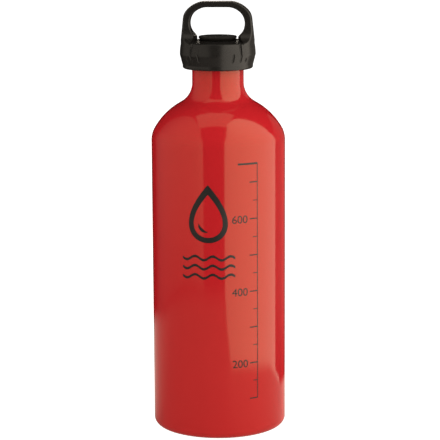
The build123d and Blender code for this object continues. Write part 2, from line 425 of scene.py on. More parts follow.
class GroupMaker:
    """Builds an effect as a shader node group with named inputs and outputs."""

    noise_span: tuple = (0.3, 0.7)

    def __init__(self, name: str, inputs: dict[str, float], outputs: dict[str, str]) -> None:
        """Create the group, its sockets and its end nodes.

        Args:
            name: the effect's name.
            inputs: name and default of each number input; a Place vector is added.
            outputs: name and socket type of each output.
        """
        self.tree = bpy.data.node_groups.new(name, "ShaderNodeTree")
        sockets = self.tree.interface
        sockets.new_socket("Place", in_out="INPUT", socket_type="NodeSocketVector")
        for title, default in inputs.items():
            socket = sockets.new_socket(title, in_out="INPUT", socket_type="NodeSocketFloat")
            socket.default_value = default
        for title, kind in outputs.items():
            sockets.new_socket(title, in_out="OUTPUT", socket_type=kind)
        self.inputs = self.tree.nodes.new("NodeGroupInput").outputs
        self.outputs = self.tree.nodes.new("NodeGroupOutput").inputs

    def put_out(self, output: Socket, title: str) -> None:
        """Link a socket to one of the group's outputs."""
        self.tree.links.new(output, self.outputs[title])

    def maths(self, operation: str, first: object, second: object) -> Socket:
        """Add a Math node on two sockets or numbers."""
        return maths(self.tree, operation, first, second)

    def noise(
        self, scale: object, detail: float, rough: float = 0.5, place: Optional[Socket] = None
    ) -> Socket:
        """Add noise.

        Args:
            scale: its scale, a number or a socket.
            detail: number of its finer layers.
            rough: how strong the finer layers are.
            place: where it is read, the Place input unless another is given.

        Returns:
            The noise's value.
        """
        node = self.tree.nodes.new("ShaderNodeTexNoise")
        sources = {"Vector": place or self.inputs["Place"], "Scale": scale}
        for title, source in {**sources, "Detail": detail, "Roughness": rough}.items():
            feed(self.tree, source, node.inputs[title])
        return node.outputs["Fac"]

    def ranged(self, value: Socket, source: tuple, target: tuple) -> Socket:
        """Map a value from one range to another and clamp it.

        Args:
            value: the value.
            source: ends of the range that it comes from, numbers or sockets.
            target: ends of the range that it goes to.

        Returns:
            The mapped value.
        """
        node = self.tree.nodes.new("ShaderNodeMapRange")
        node.clamp = True
        feed(self.tree, value, node.inputs["Value"])
        titles = ("From Min", "From Max", "To Min", "To Max")
        for title, end in zip(titles, (*source, *target)):
            feed(self.tree, end, node.inputs[title])
        return node.outputs["Result"]

    def relief(self, level: Socket, height: Socket) -> None:
        """Put out a roughness that follows a level, and a normal bumped by a height.

        Args:
            level: value that takes the roughness from Smooth to Rough.
            height: value that Depth turns into a height.
        """
        ends = (self.inputs["Smooth"], self.inputs["Rough"])
        self.put_out(self.ranged(level, self.noise_span, ends), "Roughness")
        bump = self.tree.nodes.new("ShaderNodeBump")
        for title, source in {"Distance": self.inputs["Depth"], "Height": height}.items():
            feed(self.tree, source, bump.inputs[title])
        self.put_out(bump.outputs["Normal"], "Normal")


def surface_grain(cloud_scale: float = 40.0, fine_share: float = 0.35) -> Tree:
    """Fine grain: a roughness that varies and a bumped normal, for enamel, plastic and rubber.

    Args:
        cloud_scale: scale of the slow noise.
        fine_share: share of the fine noise in the roughness; the slow one has the rest.

    Returns:
        The effect's node group.
    """
    maker = GroupMaker(
        "surface_grain",
        {"Scale": 900.0, "Depth": 0.00002, "Smooth": 0.3, "Rough": 0.4},
        {"Roughness": "NodeSocketFloat", "Normal": "NodeSocketVector", "Cloud": "NodeSocketFloat"},
    )
    fine = maker.noise(maker.inputs["Scale"], detail=3.0, rough=0.6)
    cloud = maker.noise(cloud_scale, detail=3.0)
    fine_part = maker.maths("MULTIPLY", fine, fine_share)
    slow_part = maker.maths("MULTIPLY", cloud, 1 - fine_share)
    maker.relief(maker.maths("ADD", fine_part, slow_part), fine)
    maker.put_out(cloud, "Cloud")
    return maker.tree


def worn_levels(speck_scale: float = 700.0, speck_span: tuple = (0.42, 0.62)) -> Tree:
    """A mask of worn specks near two heights: the standing ring and the rim of the mouth.

    Args:
        speck_scale: scale of the specks.
        speck_span: the part of the noise's range over which a speck sets in.

    Returns:
        The effect's node group.
    """
    maker = GroupMaker(
        "worn_levels",
        {"Low": 0.0, "High": 1.0, "Reach": 0.001, "Amount": 0.5},
        {"Mask": "NodeSocketFloat"},
    )
    split = maker.tree.nodes.new("ShaderNodeSeparateXYZ")
    feed(maker.tree, maker.inputs["Place"], split.inputs[0])
    over_low = maker.maths("SUBTRACT", split.outputs["Z"], maker.inputs["Low"])
    under_high = maker.maths("SUBTRACT", maker.inputs["High"], split.outputs["Z"])
    nearest = maker.maths("MINIMUM", over_low, under_high)
    near = maker.ranged(nearest, (0.0, maker.inputs["Reach"]), (1.0, 0.0))
    noise = maker.noise(speck_scale, detail=5.0, rough=0.7)
    worn = maker.maths("MULTIPLY", near, maker.ranged(noise, speck_span, (0.0, 1.0)))
    maker.put_out(maker.maths("MULTIPLY", worn, maker.inputs["Amount"]), "Mask")
    return maker.tree


def turning_marks(stretch: tuple = (0.05, 0.05, 1.0)) -> Tree:
    """Fine rings left by turning, drawing or rolling: a roughness and a normal by height.

    Args:
        stretch: how much of each coordinate the noise feels.

    Returns:
        The effect's node group.
    """
    maker = GroupMaker(
        "turning_marks",
        {"Scale": 900.0, "Depth": 0.00001, "Smooth": 0.25, "Rough": 0.45},
        {"Roughness": "NodeSocketFloat", "Normal": "NodeSocketVector"},
    )
    mapping = maker.tree.nodes.new("ShaderNodeMapping")
    feed(maker.tree, maker.inputs["Place"], mapping.inputs["Vector"])
    feed(maker.tree, stretch, mapping.inputs["Scale"])
    rings = maker.noise(maker.inputs["Scale"], detail=6.0, place=mapping.outputs["Vector"])
    maker.relief(rings, rings)
    return maker.tree


class Effects:
    """The effect groups that the finishes share."""

    def __init__(self) -> None:
        """Build each group once."""
        self.grain = surface_grain()
        self.worn = worn_levels()
        self.marks = turning_marks()


# Finishes


@dataclass(frozen=True)
class Enamel:
    """Glossy red stove enamel over aluminium, worn through in specks at the ring and the rim."""

    colour: tuple = (0.52, 0.0168, 0.0235)
    shade: tuple = (0.492, 0.0145, 0.021)
    metal: tuple = (0.74, 0.74, 0.76)
    gleam: tuple = (1.0, 0.93, 0.56)
    metal_rough: float = 0.35
    low: float = 0.0
    high: float = 220.6 * MM
    reach: float = 1.4 * MM

    def build(self, effects: Effects) -> bpy.types.Material:
        """Build the material.

        Args:
            effects: the effect groups.

        Returns:
            The finished material.
        """
        shader = Shader("red_enamel")
        grain = shader.effect(effects.grain, Scale=420.0, Depth=0.000001, Smooth=0.08, Rough=0.13)
        worn = shader.effect(
            effects.worn, Low=self.low, High=self.high, Reach=self.reach, Amount=0.8
        )["Mask"]
        red = shader.tint(grain["Cloud"], self.shade, self.colour)
        rough = shader.mixed(Mix.FLOAT, worn, grain["Roughness"], self.metal_rough)
        shader.join(shader.mixed(Mix.RGBA, worn, red, opaque(self.metal)), "Base Color")
        shader.join(worn, "Metallic")
        shader.join(rough, "Roughness")
        shader.join(grain["Normal"], "Normal")
        shader.constants(Specular_IOR_Level=0.55, Specular_Tint=opaque(self.gleam))
        shader.constants(Coat_Weight=0.1, Coat_Roughness=0.03, Coat_IOR=1.5)
        return shader.material


@dataclass(frozen=True)
class Moulded:
    """Moulded plastic, rubber or ink: a dark colour with a cloudy tint and a fine grain."""

    name: str
    colour: tuple
    shade: tuple
    grain_scale: float
    grain_depth: float
    smooth: float
    rough: float
    specular: float = 0.5

    def build(self, effects: Effects) -> bpy.types.Material:
        """Build the material.

        Args:
            effects: the effect groups.

        Returns:
            The finished material.
        """
        shader = Shader(self.name)
        sizes = {"Scale": self.grain_scale, "Depth": self.grain_depth}
        grain = shader.effect(effects.grain, Smooth=self.smooth, Rough=self.rough, **sizes)
        shader.join(shader.tint(grain["Cloud"], self.shade, self.colour), "Base Color")
        shader.relief(grain)
        shader.constants(Specular_IOR_Level=self.specular)
        return shader.material


@dataclass(frozen=True)
class TurnedMetal:
    """Bare metal with fine turning or drawing marks."""

    name: str
    colour: tuple
    mark_scale: float
    smooth: float
    rough: float
    mark_depth: float = 0.000006
    cloud_scale: float = 200.0
    cloud_shade: float = 0.82

    def build(self, effects: Effects) -> bpy.types.Material:
        """Build the material.

        Args:
            effects: the effect groups.

        Returns:
            The finished material.
        """
        shader = Shader(self.name)
        sizes = {"Scale": self.mark_scale, "Depth": self.mark_depth}
        marks = shader.effect(effects.marks, Smooth=self.smooth, Rough=self.rough, **sizes)
        grain = shader.effect(
            effects.grain, Scale=self.cloud_scale, Depth=0.0, Smooth=0.0, Rough=1.0
        )
        darker = [self.cloud_shade * part for part in self.colour]
        shader.join(shader.tint(grain["Cloud"], darker, self.colour), "Base Color")
        shader.relief(marks)
        shader.constants(Metallic=1.0)
        return shader.material


class Finishes:
    """All materials, built once, by slot."""

    recipes: dict = {
        Slot.PAINT: Enamel(),
        Slot.METAL: TurnedMetal(
            "bare_aluminium", (0.78, 0.78, 0.80), mark_scale=900.0, smooth=0.25, rough=0.42
        ),
        Slot.INK: Moulded(
            "black_ink", (0.012, 0.011, 0.011), (0.007, 0.007, 0.007),
            grain_scale=2600.0, grain_depth=0.000003, smooth=0.32, rough=0.5,
        ),
        Slot.CAP: Moulded(
            "cap_nylon", (0.0135, 0.0128, 0.0124), (0.0098, 0.0093, 0.009),
            grain_scale=1900.0, grain_depth=0.000006, smooth=0.24, rough=0.32, specular=0.36,
        ),
        Slot.BUTTON: Moulded(
            "button_nylon", (0.02, 0.0192, 0.018), (0.0145, 0.0138, 0.013),
            grain_scale=2400.0, grain_depth=0.000008, smooth=0.7, rough=0.85, specular=0.05,
        ),
        Slot.PLUG: Moulded(
            "plug_nylon", (0.052, 0.050, 0.048), (0.038, 0.037, 0.036),
            grain_scale=2200.0, grain_depth=0.00001, smooth=0.36, rough=0.5,
        ),
        Slot.RUBBER: Moulded(
            "seal_rubber", (0.014, 0.014, 0.014), (0.010, 0.010, 0.010),
            grain_scale=3000.0, grain_depth=0.00001, smooth=0.42, rough=0.6, specular=0.4,
        ),
        Slot.STEEL: TurnedMetal(
            "spring_steel", (0.60, 0.60, 0.62), mark_scale=1500.0, smooth=0.22, rough=0.36
        ),
    }

    def __init__(self, effects: Effects) -> None:
        """Build each material from its recipe."""
        self.by_slot = {slot: recipe.build(effects) for slot, recipe in self.recipes.items()}

    def settle(
        self, piece: Piece, body: Body, slot: Slot, *others: Slot, node: Optional[str] = None
    ) -> None:
        """Give a new piece its materials and let it ride on its body.

        Args:
            piece: the piece.
            body: the body that it rides on.
            slot: the slot whose material it holds first.
            others: further slots whose materials it holds.
            node: the node that it stands for, if any.
        """
        for each in (slot, *others):
            piece.data.materials.append(self.by_slot[each])
        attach(piece, body.value)
        if node:
            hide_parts(node)
        LOG.info("%s rides on %s, %d faces", piece.name, body.value, len(piece.data.polygons))


# Pieces of the object


@dataclass(frozen=True)
class Thread:
    """The thread that the neck and the plug share."""

    pitch: float = 3.2 * MM
    height: float = 0.75 * MM
    root_width: float = 1.7 * MM
    crest_width: float = 0.8 * MM
    root_sink: float = 0.15 * MM
    start: float = 208.9 * MM
    turn_steps: int = 72
    least_fade: float = 0.02

    def ridge(self, name: str, root: float, side: int, lead: float, turns: float) -> Piece:
        """A trapezoid carried along a helix, fading out at both ends.

        At turn angle a the section stands at height start + pitch a / (2 pi); its crest rises
        from the root by the thread's height times a fade that climbs from 0 to 1 over the first
        half turn and falls over the last.

        Args:
            name: the piece's name.
            root: radius of the wall that the ridge stands on.
            side: 1 where the crest is outside the wall, -1 where it is inside.
            lead: how far it starts above the thread's start, in pitches.
            turns: number of turns.

        Returns:
            The closed ridge.
        """
        angles = np.linspace(0.0, turns * 2 * math.pi, int(turns * self.turn_steps))
        to_end = np.minimum(angles, angles[-1] - angles)
        fade = np.clip(to_end / math.pi, self.least_fade, 1.0)
        sunk = np.full(len(angles), -side * self.root_sink)
        crest = side * self.height * fade
        foot_half, top_half = self.root_width / 2 * fade, self.crest_width / 2 * fade
        axial = np.stack([-foot_half, -top_half, top_half, foot_half], axis=1)
        radius = root + np.stack([sunk, crest, crest, sunk], axis=1)
        turn = angles[:, None]
        start = self.start + lead * self.pitch
        height = start + self.pitch * turn / (2 * math.pi) + axial
        points = np.stack([radius * np.cos(turn), radius * np.sin(turn), height], axis=2)
        ridge = sweep(name, points)
        shade_edges(ridge)
        return ridge


@dataclass
class FuelBottle:
    """The drawn bottle: enamel outside, bare metal inside, and the thread in its neck."""

    finishes: Finishes
    thread: Thread
    body_radius: float
    rim_level: float
    body_height: float = 172.9 * MM
    corner_radius: float = 4.2 * MM
    corner_step: float = 9.0
    shoulder_low_radius: float = 14.3 * MM
    shoulder_low_angle: float = 29.9
    shoulder_slope_angle: float = 58.7
    shoulder_straight: float = 2.7 * MM
    neck_fillet_radius: float = 13.1 * MM
    neck_radius: float = 15.2 * MM
    bore_radius: float = 13.2 * MM
    wall: float = 1.0 * MM
    base_wall: float = 1.8 * MM
    dish_radius: float = 27.0 * MM
    dish_depth: float = 3.0 * MM
    wide_step: float = 1.5
    mouth_chamfer: float = 1.3 * MM
    rim_bevel: float = 0.4 * MM
    bevel_step: float = 22.5
    thread_turns: float = 3.0
    segments: int = 224

    def shoulder_high_radius(self) -> float:
        """Radius of the upper shoulder arc, which leads from the lower arc to the neck's flare.

        What the lower arc, the straight slope and the flare leave of the way from the body's
        radius to the neck's is what the upper arc reaches: its radius times the difference of
        the cosines of its two angles.

        Returns:
            The radius.
        """
        low, slope = math.radians(self.shoulder_low_angle), math.radians(self.shoulder_slope_angle)
        reach = self.body_radius - self.neck_radius - self.shoulder_low_radius * (1 - math.cos(low))
        reach -= self.neck_fillet_radius * (1 - math.cos(slope))
        reach -= self.shoulder_straight * math.sin(slope)
        return reach / (math.cos(low) - math.cos(slope))

    def side(self, inset: float, foot: float, bore: float) -> np.ndarray:
        """Outline of a wall, from the base to the foot of the neck.

        Arcs and straight runs that lead into each other: corner, side, two shoulder arcs of
        different radius, slope, and the flare into the neck.

        Args:
            inset: how far the wall lies inside the bottle's outer surface.
            foot: height of its base.
            bore: radius at the neck.

        Returns:
            Array of (radius, height).
        """
        angle, low_angle = self.shoulder_slope_angle, self.shoulder_low_angle
        slope = math.radians(angle)
        corner_start = (self.body_radius - self.corner_radius, foot)
        corner = arc(corner_start, 0.0, self.corner_radius - inset, 90.0, self.corner_step)
        upright = line(corner[-1], (corner[-1, 0], self.body_height))
        low = arc(upright[-1], 90.0, self.shoulder_low_radius - inset, low_angle)
        high_radius = self.shoulder_high_radius() - inset
        high = arc(low[-1], 90.0 + low_angle, high_radius, angle - low_angle, self.wide_step)
        flare_radius = self.neck_fillet_radius + inset
        run = high[-1, 0] - bore - flare_radius * (1 - math.cos(slope))
        straight = line(high[-1], high[-1] + run * np.array([-1.0, 1 / math.tan(slope)]))
        flare = arc(straight[-1], 90.0 + angle, flare_radius, -angle)
        return chain([corner, upright, low, high, straight, flare])

    def outline(self) -> tuple[np.ndarray, int]:
        """Closed outline of the wall and the number of its points that are painted.

        Returns:
            Array of (radius, height) from the axis, outside, over the rim, and back inside to
            the axis; and how many of its first points are painted.
        """
        dish_curve, dish_turn = dish_arc(self.dish_radius, self.dish_depth)
        dish = arc((0.0, self.dish_depth), 0.0, dish_curve, -dish_turn, self.wide_step)
        outside = self.side(0.0, 0.0, self.neck_radius)
        neck = line(outside[-1], (self.neck_radius, self.rim_level - self.rim_bevel))
        rim = arc(neck[-1], 90.0, self.rim_bevel, 90.0, self.bevel_step)
        chamfer_top = (self.bore_radius + self.mouth_chamfer, self.rim_level)
        chamfer = line(chamfer_top, (self.bore_radius, self.rim_level - self.mouth_chamfer))
        inside = self.side(self.wall, self.base_wall, self.bore_radius)
        raised_dish = dish + np.array([0.0, self.base_wall])
        painted = chain([dish, outside, neck])
        return chain([painted, rim, chamfer, inside[::-1], raised_dish[::-1]]), len(painted)

    def build(self) -> None:
        """Turn the wall, paint its outside and set the thread into its neck.

        The faces come row by row, one row less than the rings between the two poles, and then
        the fans round the poles: the outer one painted and the inner one bare.
        """
        outline, painted = self.outline()
        body = lathe("bottle_body", outline, self.segments)
        rows = len(outline) - 3
        bare = np.repeat([*(np.arange(rows) >= painted - 2), False, True], self.segments)
        body.data.polygons.foreach_set("material_index", bare.astype(np.int32))
        shade_edges(body)
        self.finishes.settle(body, Body.BOTTLE, Slot.PAINT, Slot.METAL, node="bottle")
        ridge = self.thread.ridge("neck_thread", self.bore_radius, -1, 0.0, self.thread_turns)
        self.finishes.settle(ridge, Body.BOTTLE, Slot.METAL)


@dataclass
class Prints:
    """What is printed on the bottle's side: a drop over three waves, and a scale of volume.

    A printed point is given by its distance round the side from the front and its height.
    """

    finishes: Finishes
    radius: float
    wall: float = 1.0 * MM
    floor_level: float = 2.6 * MM
    ink: float = 0.06 * MM
    sunk: float = 0.1 * MM
    mark_centre: float = -3.83 * MM
    drop_level: float = 135.0 * MM
    drop_half_height: float = 17.0 * MM
    drop_width: float = 15.0 * MM
    drop_hollow: float = 0.74
    drop_sag: float = 0.3
    drop_steps: int = 96
    drop_columns: int = 4
    gleam_radius: float = 5.6 * MM
    gleam_width: float = 1.7 * MM
    gleam_bend: tuple = (188.0, 268.0)
    gleam_swell: tuple = (0.05, 0.95)
    gleam_steps: int = 25
    wave_count: int = 3
    wave_top: float = 109.0 * MM
    wave_step: float = 5.4 * MM
    wave_length: float = 10.5 * MM
    wave_height: float = 1.15 * MM
    wave_stroke: float = 1.5 * MM
    wave_ends: tuple = (-1.5, 1.5)
    wave_points: int = 73
    scale_centre: float = 26.17 * MM
    scale_stroke: float = 0.45 * MM
    scale_foot: int = 100
    scale_top: int = 750
    scale_step: int = 50
    numbers: tuple = (200, 400, 600)
    long_tick: float = 5.2 * MM
    short_tick: float = 3.0 * MM
    long_tick_weight: float = 1.5
    fill_line_weight: float = 2.4
    tick_points: int = 9
    number_height: float = 4.6 * MM
    number_gap: float = 1.4 * MM
    digit_share: float = 0.7

    def level_of(self, volume: float) -> float:
        """Height that a volume in millilitres fills the bottle to."""
        return self.floor_level + volume * ML / (math.pi * (self.radius - self.wall) ** 2)

    def on_side(self, across: np.ndarray, up: np.ndarray, outset: object) -> np.ndarray:
        """Points of the side: (r sin(x / R), -r cos(x / R), z), r being R plus an outset.

        Args:
            across: distances x round the side, R being the bottle's radius.
            up: heights z.
            outset: one number or an array.

        Returns:
            Array with a last axis of (x, y, z).
        """
        angle = across / self.radius
        reach = self.radius + outset
        return np.stack([reach * np.sin(angle), -reach * np.cos(angle), up + 0 * angle], axis=-1)

    def plate(self, name: str, across: np.ndarray, up: np.ndarray, looped: bool = False) -> Piece:
        """A closed layer of ink over a grid of places.

        Args:
            name: the piece's name.
            across: array (rows, columns) of distances round the side.
            up: array of the same shape of heights.
            looped: whether the last row joins the first.

        Returns:
            The layer, its back sunk into the paint.
        """
        front = self.on_side(across, up, self.ink)
        back = self.on_side(across, up, -self.sunk)[:, ::-1]
        return sweep(name, np.concatenate([front, back], axis=1), looped, smooth=False)

    def drop(self) -> list[Piece]:
        """A drop drawn as a line, with a gleam inside.

        The outline is x = w sin t sin(t / 2), z = h cos t; the line lies between it and the same
        outline scaled down. The gleam is an arc whose width grows and falls as a sine.

        Returns:
            Both layers.
        """
        turn = np.linspace(0.0, 2 * math.pi, self.drop_steps, endpoint=False)[:, None]
        scale = np.linspace(self.drop_hollow, 1.0, self.drop_columns)[None]
        round_part = self.drop_level - self.drop_sag * self.drop_half_height
        across = self.mark_centre + scale * self.drop_width * np.sin(turn) * np.sin(turn / 2)
        tip_up = self.drop_half_height * np.cos(turn) + self.drop_level - round_part
        ring = self.plate("drop_mark", across, round_part + scale * tip_up, looped=True)
        bend = np.radians(np.linspace(*self.gleam_bend, self.gleam_steps))[:, None]
        swell = np.sin(np.linspace(*self.gleam_swell, self.gleam_steps) * math.pi)[:, None]
        reach = self.gleam_radius + STROKE_LINES * self.gleam_width * swell
        across, up = self.mark_centre + reach * np.cos(bend), round_part + reach * np.sin(bend)
        return [ring, self.plate("drop_gleam", across, up)]

    def waves(self) -> list[Piece]:
        """Level lines that wave as a sine.

        Returns:
            A layer for each line, the top one first.
        """
        along = np.linspace(*self.wave_ends, self.wave_points)[:, None] * self.wave_length
        rise = self.wave_height * np.sin(2 * math.pi * along / self.wave_length)
        stroke = STROKE_LINES * self.wave_stroke
        across = self.mark_centre + along + 0 * stroke
        levels = [self.wave_top - index * self.wave_step for index in range(self.wave_count)]
        return [
            self.plate(f"wave_line_{index}", across, level + rise + stroke)
            for index, level in enumerate(levels, start=1)
        ]

    def bar(self, name: str, length: float, level: float, stroke: float) -> Piece:
        """A level bar that ends at the scale's line.

        Args:
            name: the piece's name.
            length: how far it reaches to the left of the line.
            level: its height.
            stroke: its width.

        Returns:
            The layer.
        """
        right = self.scale_centre
        across = np.linspace(right - length, right, self.tick_points)[:, None] + 0 * STROKE_EDGES
        return self.plate(name, across, level + 0 * across + STROKE_EDGES * stroke)

    def number(self, value: int) -> Piece:
        """Digits of a volume, set to the left of its tick and bent round the side.

        Args:
            value: the volume in millilitres.

        Returns:
            The layer.
        """
        curve = bpy.data.curves.new(f"digits_{value}", "FONT")
        curve.body = str(value)
        curve.size = self.number_height / self.digit_share
        curve.extrude = 0.5
        source = bpy.data.objects.new(f"digits_{value}", curve)
        flat = bpy.data.meshes.new_from_object(source)
        points, faces = mesh_parts(flat)
        right = self.scale_centre - self.long_tick - self.number_gap
        across = points[:, 0] - points[:, 0].max() + right
        up = points[:, 1] + self.level_of(value) - self.number_height / 2
        outset = np.where(points[:, 2] > 0, self.ink, -self.sunk)
        places = self.on_side(across, up, outset)
        digits = make_object(f"scale_number_{value}", places, faces, smooth=False)
        bpy.data.objects.remove(source)
        bpy.data.meshes.remove(flat)
        weld(digits)
        return digits

    def scale(self) -> list[Piece]:
        """The upright line, its ticks at equal volumes, the fill line and the numbers.

        Returns:
            All the layers.
        """
        low, high = self.level_of(self.scale_foot), self.level_of(self.scale_top)
        rise = np.linspace(low, high, 2)[:, None] + 0 * STROKE_EDGES
        across = self.scale_centre + 0 * rise + STROKE_EDGES * self.scale_stroke
        layers = [self.plate("scale_line", across, rise)]
        for volume in range(self.scale_foot, self.scale_top, self.scale_step):
            short = volume % (2 * self.scale_step)
            length = self.short_tick if short else self.long_tick
            stroke = self.scale_stroke * (1.0 if short else self.long_tick_weight)
            layers.append(self.bar(f"tick_{volume}", length, self.level_of(volume), stroke))
        weight = self.fill_line_weight
        layers.append(
            self.bar("fill_line", weight * self.long_tick, high, weight * self.scale_stroke)
        )
        return layers + [self.number(volume) for volume in self.numbers]

    def build(self) -> None:
        """Print the marks and the scale on the side."""
        for layer in self.drop() + self.waves() + self.scale():
            self.finishes.settle(layer, Body.BOTTLE, Slot.INK)


@dataclass
class CentreButton:
    """The button in the middle of the cap: a dished head on a waist, and a beaded stem."""

    finishes: Finishes
    foot: float
    solid_top: float
    head_rise: float = 0.3 * MM
    head_radius: float = 11.2 * MM
    head_height: float = 3.17 * MM
    rim: float = 1.0 * MM
    edge_round: float = 0.35 * MM
    edge_step: float = 15.0
    dish_radius: float = 8.0 * MM
    dish_depth: float = 0.35 * MM
    dish_step: float = 0.4
    waist_radius: float = 9.3 * MM
    neck_radius: float = 8.2 * MM
    neck_foot: float = 4.2 * MM
    stem_radius: float = 5.37 * MM
    bead_radius: float = 5.72 * MM
    bead_levels: tuple = (1.0 * MM, 1.94 * MM)
    segments: int = 144

    def outline(self) -> np.ndarray:
        """Outline from the stem's foot up to the middle of the dish.

        Returns:
            Array of (radius, height), both ends on the axis.
        """
        top, stem, bead = self.solid_top + self.head_rise, self.stem_radius, self.bead_radius
        head_foot, neck_foot = self.solid_top - self.head_height, self.foot + self.neck_foot
        rim_foot = top - self.rim
        waist_top = rim_foot - (self.head_radius - self.waist_radius)
        low, high = (self.foot + level for level in self.bead_levels)
        shaft = [(0, self.foot), (stem, self.foot), (stem, low), (bead, low), (bead, high)]
        shaft += [(stem, high), (stem, neck_foot), (self.neck_radius, neck_foot)]
        shaft += [(self.neck_radius, head_foot), (self.waist_radius, head_foot)]
        shaft += [(self.waist_radius, waist_top), (self.head_radius, rim_foot)]
        edge_foot = (self.head_radius, top - self.edge_round)
        edge = arc(edge_foot, 90.0, self.edge_round, 90.0, self.edge_step)
        curve, fall = dish_arc(self.dish_radius, self.dish_depth)
        dish = arc((self.dish_radius, top), 180.0 + fall, curve, -fall, self.dish_step)
        return chain([np.array(shaft), edge, dish])

    def build(self) -> None:
        """Turn the button and dress it."""
        button = lathe("cap_button", self.outline(), self.segments)
        shade_edges(button)
        self.finishes.settle(button, Body.PLUG, Slot.BUTTON, node="center_button")


@dataclass
class Closure:
    """The cap: shell, button, threaded plug, seal and wave spring."""

    finishes: Finishes
    thread: Thread
    nodes: dict
    barrel_radius: float = 12.05 * MM
    thread_turns: float = 2.4
    thread_lead: float = 0.5
    seal_points: int = 28
    seal_segments: int = 120
    spring_inner: float = 10.0 * MM
    spring_outer: float = 13.4 * MM
    spring_strip: float = 0.4 * MM
    spring_waves: int = 3
    spring_gap: float = 8.0
    spring_points: int = 241
    press: float = 1.8 * MM
    press_spare: float = 1.02
    crown_depth: float = 8.8 * MM
    crown_pull: float = 0.13

    def moulded(self, node: str, name: str, body: Body, slot: Slot) -> Piece:
        """Join a moulded solid's loose triangles into an evenly shaded piece in its plastic.

        Args:
            node: name of the solid's node.
            name: the new piece's name.
            body: the body that it rides on.
            slot: its slot.

        Returns:
            The new piece, in the solid's own place.
        """
        piece = make_object(name, *mesh_parts(self.nodes[node].data))
        weld(piece, WELD_GAP, outwards=False)
        shade_edges(piece)
        self.finishes.settle(piece, body, slot, node=node)
        return piece

    def round_crown(self, shell: Piece) -> None:
        """Draw the loop's upper corners in.

        At a depth d under the top, up to D, x becomes x (1 - k (1 - d / D)^2).

        Args:
            shell: the cap shell's piece.
        """
        points, _ = mesh_parts(shell.data)
        depth = points[:, 2].max() - points[:, 2]
        near = np.clip(1 - depth / self.crown_depth, 0.0, 1.0)
        points[:, 0] *= 1 - self.crown_pull * near**2
        shell.data.vertices.foreach_set("co", points.ravel())
        shell.data.update()

    def seal(self) -> None:
        """The O-ring: a circle (R + r cos b, r sin b) turned about Z."""
        low, high = (np.array(corner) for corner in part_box("o_ring"))
        wire = (high[2] - low[2]) / 2
        bend = np.linspace(0.0, 2 * math.pi, self.seal_points, endpoint=False)
        across = high[0] - wire + wire * np.cos(bend)
        up = (low[2] + high[2]) / 2 + wire * np.sin(bend)
        ring = lathe("seal_ring", np.stack([across, up], axis=1), self.seal_segments, looped=True)
        self.finishes.settle(ring, Body.SEAL, Slot.RUBBER, node="o_ring")

    def spring(self) -> None:
        """The wave spring: a flat strip whose height is m - s cos(n a) at the angle a."""
        low, high = (np.array(corner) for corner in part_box("wave_spring"))
        height, half_gap = high[2] - low[2], self.spring_gap / 2
        angle = np.radians(np.linspace(half_gap, 360 - half_gap, self.spring_points))[:, None]
        swing = (height - self.spring_strip) / 2
        level = (low[2] + high[2]) / 2 - swing * np.cos(self.spring_waves * angle)
        inner, outer = self.spring_inner, self.spring_outer
        radius = np.array([[inner, outer, outer, inner]])
        level = level + np.repeat(STROKE_EDGES, 2, axis=1) * self.spring_strip
        points = np.stack([radius * np.cos(angle), radius * np.sin(angle), level], axis=2)
        strip = sweep("wave_strip", points)
        shade_edges(strip)
        self.finishes.settle(strip, Body.SPRING, Slot.STEEL, node="wave_spring")
        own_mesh(strip)

    def build(self) -> None:
        """Build and dress the closure's pieces."""
        self.round_crown(self.moulded("cap_shell", "cap_grip", Body.SHELL, Slot.CAP))
        low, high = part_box("center_button")
        CentreButton(self.finishes, foot=low[2], solid_top=high[2]).build()
        self.moulded("plug", "plug_barrel", Body.PLUG, Slot.PLUG)
        ridge = self.thread.ridge(
            "plug_thread", self.barrel_radius, 1, self.thread_lead, self.thread_turns
        )
        self.finishes.settle(ridge, Body.PLUG, Slot.PLUG)
        self.seal()
        self.spring()


# Studio


@dataclass(frozen=True)
class Softbox:
    """A lit screen, part of a dome round the object.

    Angles are in degrees: sideways from the camera's direction to its right, and upwards. The
    smaller its fullness, the rounder are the screen's upper corners. Its light fades in over an
    angle above its foot.
    """

    name: str
    near: float
    far: float
    foot: float
    top: float
    fullness: float
    strength: float
    near_loss: float = 0.0
    near_power: float = 2.0
    far_loss: float = 0.0
    far_power: float = 3.5
    fade: float = 0.01
    distance: float = 1.8
    glossy: bool = True
    rows: int = 33
    columns: int = 65

    def sheet(self, turn: float, centre: float) -> tuple[np.ndarray, list, np.ndarray]:
        """The screen's points, faces and strengths.

        At the shares u sideways and v upwards, the top is top sqrt(1 - |2u - 1|^fullness), the
        angle upwards goes from the foot to the top with v, and the one sideways from near to far
        with u. The shares u lie closer together near both ends.

        Args:
            turn: the camera's own angle from the front.
            centre: height of the dome's centre.

        Returns:
            Points of shape (rows, columns, 3), faces, and the strength at each point.
        """
        ends = 0.5 - 0.5 * np.cos(np.linspace(0.0, math.pi, self.columns))
        across, upwards = np.meshgrid(ends, np.linspace(0.0, 1.0, self.rows))
        top = self.top * np.sqrt(1 - np.abs(2 * across - 1) ** self.fullness)
        rise = self.foot + (top - self.foot) * upwards
        faded = np.clip((rise - self.foot) / self.fade, 0.0, 1.0)
        aside = np.radians(self.near + (self.far - self.near) * across + turn)
        rise = np.radians(rise)
        ways = [np.cos(rise) * np.sin(aside), -np.cos(rise) * np.cos(aside), np.sin(rise)]
        points = self.distance * np.stack(ways, axis=2) + np.array([0.0, 0.0, centre])
        return points, grid_faces(self.rows, self.columns), faded * self.glow(across)

    def glow(self, across: np.ndarray) -> np.ndarray:
        """Strength at a share u of the way across: s (1 - n (1 - u)^p - f u^q)."""
        near = self.near_loss * (1 - across) ** self.near_power
        return self.strength * (1 - near - self.far_loss * across**self.far_power)


